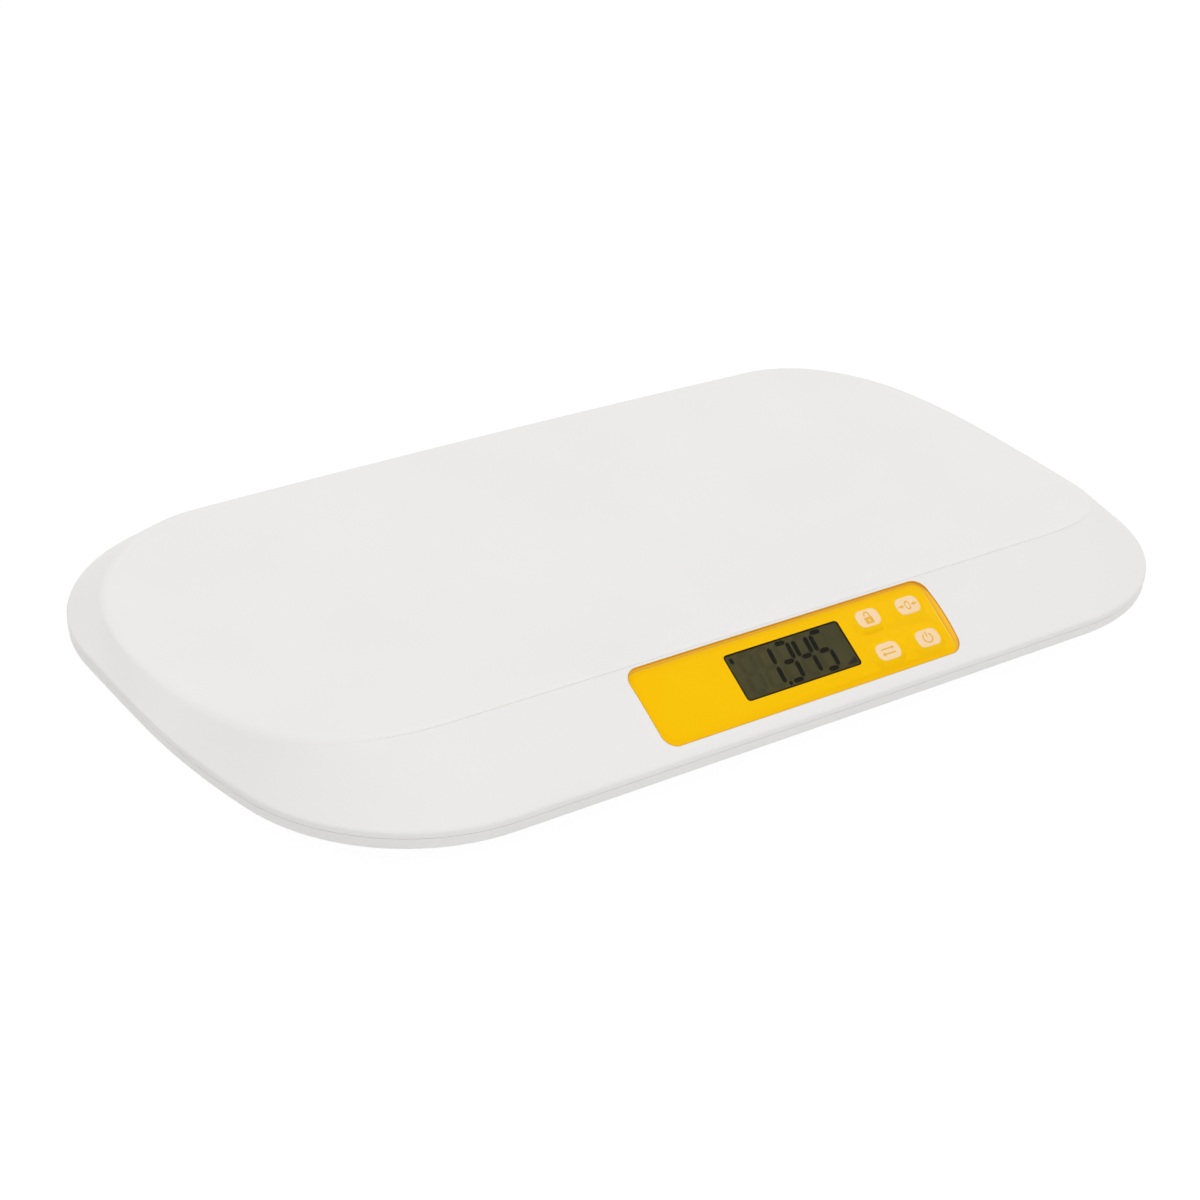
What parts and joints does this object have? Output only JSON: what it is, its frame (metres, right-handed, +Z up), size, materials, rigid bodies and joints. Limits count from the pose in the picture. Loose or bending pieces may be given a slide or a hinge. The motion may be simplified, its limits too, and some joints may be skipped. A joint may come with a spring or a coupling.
{
  "type": "digital baby scale",
  "caption": "Low oblong weighing tray with a shallow dish, a sloping front display panel with keys, sprung load feet and a hinged battery door.",
  "frame": {"origin": "on the surface that the scale stands on, under the middle of its outline", "axes": "+X along the tray, +Y to the back, +Z up; the display faces -Y"},
  "size_m": [0.55, 0.33, 0.0544],
  "materials": {
    "white_shell": "satin white injection moulded ABS",
    "yellow_lens": "clear acrylic with a yellow print on its back",
    "display_glass": "liquid crystal cell, dark olive",
    "key_rubber": "moulded silicone, pale peach",
    "black_plastic": "moulded black plastic",
    "contact_rubber": "layered conductive rubber",
    "circuit_board": "glass fibre board with green solder mask",
    "chip_epoxy": "potted chip",
    "socket_nylon": "natural nylon",
    "plated_steel": "zinc plated steel",
    "spring_steel": "nickel plated spring steel",
    "foot_rubber": "soft grey rubber",
    "cell_wrap": "plain film round an alkaline cell",
    "lead_sheath": "soft vinyl sheath"
  },
  "bodies": {
    "housing": {"top_shell": "white_shell", "base_shell": "white_shell", "display_lens": "yellow_lens", "display_glass": "display_glass", "display_holder": "black_plastic", "contact_strip_upper": "contact_rubber", "contact_strip_lower": "contact_rubber", "main_board": "circuit_board", "controller_chip": "chip_epoxy", "lead_socket_left": "socket_nylon", "lead_socket_right": "socket_nylon", "switch_lock": "black_plastic", "switch_zero": "black_plastic", "switch_unit": "black_plastic", "switch_power": "black_plastic", "board_screw_1": "plated_steel", "board_screw_2": "plated_steel", "board_screw_3": "plated_steel", "board_screw_4": "plated_steel", "sensor_lead_front_left": "lead_sheath", "sensor_lead_front_right": "lead_sheath", "sensor_lead_back_left": "lead_sheath", "sensor_lead_back_right": "lead_sheath", "housing_screw_left": "plated_steel", "housing_screw_right": "plated_steel", "housing_screw_back_left": "plated_steel", "housing_screw_back_middle": "plated_steel", "housing_screw_back_right": "plated_steel", "housing_screw_front_left": "plated_steel", "housing_screw_front_middle": "plated_steel", "housing_screw_front_right": "plated_steel", "battery_1": "cell_wrap", "battery_2": "cell_wrap", "battery_3": "cell_wrap", "contact_start": "spring_steel", "contact_link_right": "spring_steel", "contact_link_left": "spring_steel", "contact_end": "spring_steel", "battery_lead": "lead_sheath"},
    "key_lock": {"key_lock": "key_rubber"},
    "key_zero": {"key_zero": "key_rubber"},
    "key_unit": {"key_unit": "key_rubber"},
    "key_power": {"key_power": "key_rubber"},
    "foot_front_left": {"foot_pad_front_left": "foot_rubber", "foot_cup_front_left": "white_shell", "load_cell_front_left": "plated_steel"},
    "foot_front_right": {"foot_pad_front_right": "foot_rubber", "foot_cup_front_right": "white_shell", "load_cell_front_right": "plated_steel"},
    "foot_back_left": {"foot_pad_back_left": "foot_rubber", "foot_cup_back_left": "white_shell", "load_cell_back_left": "plated_steel"},
    "foot_back_right": {"foot_pad_back_right": "foot_rubber", "foot_cup_back_right": "white_shell", "load_cell_back_right": "plated_steel"},
    "battery_door": {"battery_door": "white_shell"}
  },
  "joints": [
    {"name": "press_lock", "type": "slide", "parent": "housing", "child": "key_lock", "axis": [0, 0.5176, -0.8556], "range_m": [0, 0.0004], "stiffness_N_per_m": 200, "springref_m": -0.0002},
    {"name": "press_zero", "type": "slide", "parent": "housing", "child": "key_zero", "axis": [0, 0.5176, -0.8556], "range_m": [0, 0.0004], "stiffness_N_per_m": 200, "springref_m": -0.0002},
    {"name": "press_unit", "type": "slide", "parent": "housing", "child": "key_unit", "axis": [0, 0.5176, -0.8556], "range_m": [0, 0.0004], "stiffness_N_per_m": 200, "springref_m": -0.0002},
    {"name": "press_power", "type": "slide", "parent": "housing", "child": "key_power", "axis": [0, 0.5176, -0.8556], "range_m": [0, 0.0004], "stiffness_N_per_m": 200, "springref_m": -0.0002},
    {"name": "float_front_left", "type": "slide", "parent": "housing", "child": "foot_front_left", "axis": [0, 0, 1], "range_m": [0, 0.0006], "stiffness_N_per_m": 6000, "springref_m": -0.0006},
    {"name": "float_front_right", "type": "slide", "parent": "housing", "child": "foot_front_right", "axis": [0, 0, 1], "range_m": [0, 0.0006], "stiffness_N_per_m": 6000, "springref_m": -0.0006},
    {"name": "float_back_left", "type": "slide", "parent": "housing", "child": "foot_back_left", "axis": [0, 0, 1], "range_m": [0, 0.0006], "stiffness_N_per_m": 6000, "springref_m": -0.0006},
    {"name": "float_back_right", "type": "slide", "parent": "housing", "child": "foot_back_right", "axis": [0, 0, 1], "range_m": [0, 0.0006], "stiffness_N_per_m": 6000, "springref_m": -0.0006},
    {"name": "battery_door_hinge", "type": "hinge", "parent": "housing", "child": "battery_door", "pos_m": [0, 0.0216, 0.006], "axis": [-1, 0, 0], "range_deg": [0, 80]}
  ]
}
